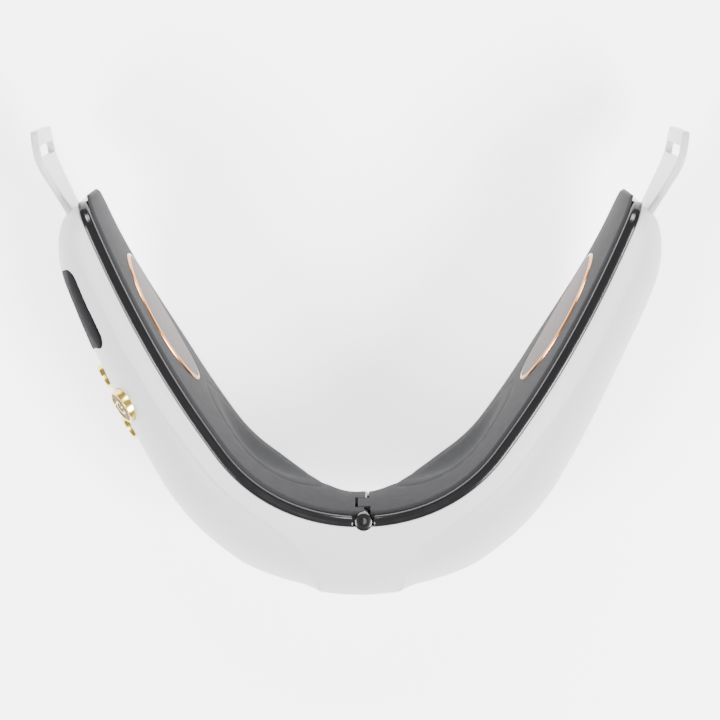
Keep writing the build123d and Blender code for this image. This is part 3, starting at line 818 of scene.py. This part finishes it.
# Half of the lug's outline: distance from the root, and half height. It is a little off the CAD model's
LUG_OUTLINE = ((-1, 9.0), (3, 9.3), (7, 10.2), (12, 12.4), (17, 14.8), (21, 15.8), (25, 15.6), (27.6, 14.6),
               (28.6, 12.4))
LUG_POINTS, LUG_SMOOTHINGS, LUG_SOFT, LUG_BEND = 240, 6, 0.35, 8
STRAP_SLOT, STRAP_SLOT_TO_TIP, SLOT_STRETCH = (3.0, 27.0, 1.2), 4.4, 4.0


def lug_bend():
    """The lug's bent middle line in plan: distances along it, points, directions, and its length."""
    root, bend, tip = [np.array(p) for p in LUG_PATH]
    first, second = np.linalg.norm(bend - root), np.linalg.norm(tip - bend)
    dense = np.linspace(-2, first + second + 1, 400)
    turn = ease((dense - first + LUG_BEND / 2) / LUG_BEND)
    one, two = (bend - root) / first, (tip - bend) / second
    direction = one[None, :] * (1 - turn)[:, None] + two[None, :] * turn[:, None]
    direction /= np.linalg.norm(direction, axis=1, keepdims=True)
    centre = np.cumsum(direction, axis=0) * (dense[1] - dense[0])
    centre += root - np.array([np.interp(0, dense, centre[:, k]) for k in (0, 1)])
    return dense, centre, direction, first + second


def lug_outlines(tip):
    """The lug's smoothed outline and the slot's, point for point."""
    upper = np.array(LUG_OUTLINE, float)
    hull = np.concatenate([upper, upper[::-1] * (1, -1)])
    closed = np.concatenate([hull, hull[:1]])
    length = np.concatenate([[0], np.cumsum(np.linalg.norm(np.diff(closed, axis=0), axis=1))])
    even = np.linspace(0, length[-1], LUG_POINTS, endpoint=False)
    outer = np.stack([np.interp(even, length, closed[:, k]) for k in (0, 1)], axis=1)
    for _ in range(LUG_SMOOTHINGS):
        outer = (np.roll(outer, 1, axis=0) + outer * 2 + np.roll(outer, -1, axis=0)) / 4
    slot_u = tip - STRAP_SLOT_TO_TIP
    slot = np.array(rounded_outline(*STRAP_SLOT, 20))
    slot_angle = np.arctan2(outer[:, 1], (outer[:, 0] - slot_u) * SLOT_STRETCH)
    ring_angle = np.arctan2(slot[:, 1], slot[:, 0] * SLOT_STRETCH)
    order = np.argsort(ring_angle)
    inner = [np.interp(slot_angle, ring_angle[order], slot[order, k], period=2 * math.pi) for k in (0, 1)]
    return outer, np.stack(inner, axis=1) + (slot_u, 0.0)


def lug_section():
    """Section from the outline (0) to the slot (1), with heights; rounded outside and at the slot."""
    half = LUG_THICKNESS / 2
    ring = [(0.0, -half + LUG_SOFT), (0.0, half - LUG_SOFT), (0.02, half - 0.1), (0.05, half)]
    ring += [(w, half) for w in (0.2, 0.4, 0.6, 0.8, 0.93)]
    ring += [(0.98, half - 0.05), (1.0, half - 0.25)]
    return ring + [(w, -h) for w, h in reversed(ring)]


def lug_mesh(side, half):
    """Milky clear lug: a thin bent plate that widens to its strap slot."""
    dense, centre, direction, tip = lug_bend()
    outer, inner = lug_outlines(tip)
    ring = lug_section()
    points = []
    for start, finish in zip(outer, inner):
        for w, h in ring:
            u, v = start * (1 - w) + finish * w
            x, y = (np.interp(u, dense, centre[:, k]) for k in (0, 1))
            dx, dy = (np.interp(u, dense, direction[:, k]) for k in (0, 1))
            points.append(np.array([side * (x + dy * h), y - dx * h, LUG_MID_Z + v]))
    faces = tube_faces(len(outer), len(ring), closed=True)
    piece = clean(make_object(f"{half}_lug", points, faces, MATERIALS["lug"]), 0.002)
    return sharp_by_angle(piece, 50)


def make_lugs():
    for side, half in SIDES:
        lug = lug_mesh(side, half)
        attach(lug, f"{half}_half")
        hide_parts(f"{half}_strap_lug")


# ---------------------------------------------------------------- controls

WINDOW_CLEARANCE, WINDOW_GLASS_CORNER = 0.25, 3.4
# Share of the way to the window's outline, and lift off the shell's surface
WINDOW_RINGS = ((0.0, -1.6), (1.0, -1.6), (1.0, -0.35), (0.992, -0.2), (0.975, -0.12), (0.9, -0.1),
                (0.7, -0.1), (0.5, -0.1), (0.3, -0.1), (0.1, -0.1), (0.0, -0.1))
ICON_SECTION = ((-1, 0), (-1, 0.7), (-0.6, 1), (0.6, 1), (1, 0.7), (1, 0))
ICON_RADIUS, ICON_GAP, ICON_WIDTH, ICON_HEIGHT = 1.7, math.radians(32), 0.5, 0.28
ICON_STEM, ICON_BASE = (0.3, 1.15), 0.74
SIGN_LENGTH, SIGN_WIDTH, SIGN_CORNER, SIGN_LOW, SIGN_HIGH = 2.9, 0.7, 0.3, 0.3, 0.62
BUTTON_FOOT = -2.5


def window_mesh():
    """Black window that follows the shell's curve just below it; the cover's own bevel isn't followed."""
    width, height = (length - WINDOW_CLEARANCE for length in WINDOW_SIZE)
    outline = np.array(rounded_outline(width, height, WINDOW_GLASS_CORNER, 16))
    _, _, up, out = facing(*WINDOW)
    lean = up[2]
    points = []
    for p, q in outline:
        for scale, lift in WINDOW_RINGS:
            s, z = WINDOW[0] + p * scale, WINDOW[1] + q * scale * lean
            points.append(place(s, float(surface_n(s, z)), z) + out * lift)
    faces = grid_faces(len(outline), len(WINDOW_RINGS))
    return sharp_by_angle(clean(make_object("window_glass", points, faces, MATERIALS["window"])), 60)


def bar(name, centres, sides, out):
    """Closed raised gold bar along a line of centres, with bevelled upper edges."""
    points = []
    for centre, side in zip(centres, sides):
        for w, h in ICON_SECTION:
            points.append(centre + w * side * ICON_WIDTH / 2 + out * h * ICON_HEIGHT)
    faces = capped_tube_faces(len(centres), len(ICON_SECTION))
    return sharp_by_angle(clean(make_object(name, points, faces, MATERIALS["gold"])), 40)


def power_mark(origin, across, up, out):
    """Generic power symbol: an open ring and a bar through its gap."""
    turns = np.linspace(math.pi / 2 + ICON_GAP, math.pi * 2.5 - ICON_GAP, 48)
    directions = [across * math.cos(a) + up * math.sin(a) for a in turns]
    ring = bar("power_mark_ring", [origin + d * ICON_RADIUS for d in directions], directions, out)
    stem = bar("power_mark_stem", [origin + up * ICON_RADIUS * v for v in ICON_STEM], [across, across], out)
    return ring, stem


def plus_outline(length, width):
    """Outline of a plus sign: one arm's three corners, turned four times."""
    a, b = length / 2, width / 2
    points, arm = [], [(a, -b), (a, b), (b, b)]
    for _ in range(4):
        points += arm
        arm = [(-y, x) for x, y in arm]
    return points


def make_window():
    glass = window_mesh()
    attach(glass, "right_half")
    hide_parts("display_window")


def make_power_button():
    """Gold cup, brown face and the raised mark, which move together."""
    origin, across, up, out = facing(*POWER)
    radius = POWER_RADIUS
    cup = turned("power_cup", origin, across, up, out,
                 [(0.0, BUTTON_FOOT), (radius, BUTTON_FOOT), (radius, 0.78), (radius - 0.05, 0.9),
                  (radius - 0.14, 0.97), (radius - 0.28, 1.0), (radius - 0.42, 0.96), (radius - 0.5, 0.84),
                  (radius - 0.5, 0.5), (0.0, 0.5)],
                 MATERIALS["gold"])
    face = turned("power_face", origin, across, up, out,
                  [(0.0, 0.55), (radius - 0.52, 0.55), (radius - 0.54, 0.74), (radius - 0.8, 0.79),
                   (0.0, 0.82)],
                  MATERIALS["brown"])
    ring, stem = power_mark(origin + out * ICON_BASE, across, up, out)
    for piece, node, slot in ((cup, "power_button", "gold"), (face, "power_button_face", "brown_face"),
                              (ring, "power_icon", "gold"), (stem, "", "gold")):
        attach(piece, "power_button")
        if node:
            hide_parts(node)


def make_small_button(name, spot, outline):
    """Gold cap with a raised brown sign."""
    origin, across, up, out = facing(*spot)
    radius = SMALL_RADIUS
    cap = turned(f"{name}_cap", origin, across, up, out,
                 [(0.0, BUTTON_FOOT), (radius, BUTTON_FOOT), (radius, 0.35), (radius - 0.06, 0.48),
                  (radius - 0.2, 0.56), (radius - 0.4, 0.55), (radius - 0.55, 0.46), (radius - 0.7, 0.4),
                  (0.0, 0.44)],
                 MATERIALS["gold"])
    sign = prism(f"{name}_sign", origin, across, up, out, outline, SIGN_LOW, SIGN_HIGH, MATERIALS["brown"])
    for piece in (cap, sign):
        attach(piece, name)
    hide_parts(name)


def make_controls():
    make_window()
    make_power_button()
    make_small_button("plus_button", PLUS, plus_outline(SIGN_LENGTH, SIGN_WIDTH))
    make_small_button("minus_button", MINUS, rounded_outline(SIGN_LENGTH, SIGN_WIDTH, SIGN_CORNER, 6))


# ---------------------------------------------------------------- stage, in metres and watts

FLOOR_SIZE, WORLD_STRENGTH, LIGHT_SIZE = 8, 0.5, 0.5
LIGHTS = (("key", (0.65, -0.40, 0.95), 42), ("back", (0.05, 0.95, 0.85), 20),
          ("fill", (-0.70, -0.35, 0.9), 28))
CAMERA_DISTANCE, CAMERA_TILT, CAMERA_AIM, CAMERA_LENS = 0.640, math.radians(8), (0, 0.0048, 0.060), 128


def make_stage():
    bpy.ops.mesh.primitive_plane_add(size=FLOOR_SIZE)
    floor = bpy.context.object
    floor.name = "floor"
    floor.data.materials.append(MATERIALS["floor"])
    world = bpy.data.worlds.new("studio")
    bpy.context.scene.world = world
    world.use_nodes = True
    background = world.node_tree.nodes["Background"]
    background.inputs["Color"].default_value = (1, 1, 1, 1)
    background.inputs["Strength"].default_value = WORLD_STRENGTH
    for name, spot, power in LIGHTS:
        light = bpy.data.lights.new(name, "AREA")
        light.size, light.energy = LIGHT_SIZE, power
        lamp = bpy.data.objects.new(name, light)
        lamp.location = spot
        lamp.rotation_euler = (-Vector(spot)).to_track_quat("-Z", "Y").to_euler()
        bpy.context.scene.collection.objects.link(lamp)


def make_camera():
    """High view, tipped a little to the wearer's side."""
    view = Vector((0, -math.sin(CAMERA_TILT), -math.cos(CAMERA_TILT)))
    data = bpy.data.cameras.new("camera")
    data.lens, data.sensor_width = CAMERA_LENS, 36
    data.clip_end = 20
    camera = bpy.data.objects.new("camera", data)
    camera.location = Vector(CAMERA_AIM) - view * CAMERA_DISTANCE
    camera.rotation_euler = (-CAMERA_TILT, 0, 0)
    bpy.context.scene.collection.objects.link(camera)
    bpy.context.scene.camera = camera


make_stage()
make_camera()
dress_cad_nodes()
make_shell()
make_inside()
make_lugs()
make_controls()
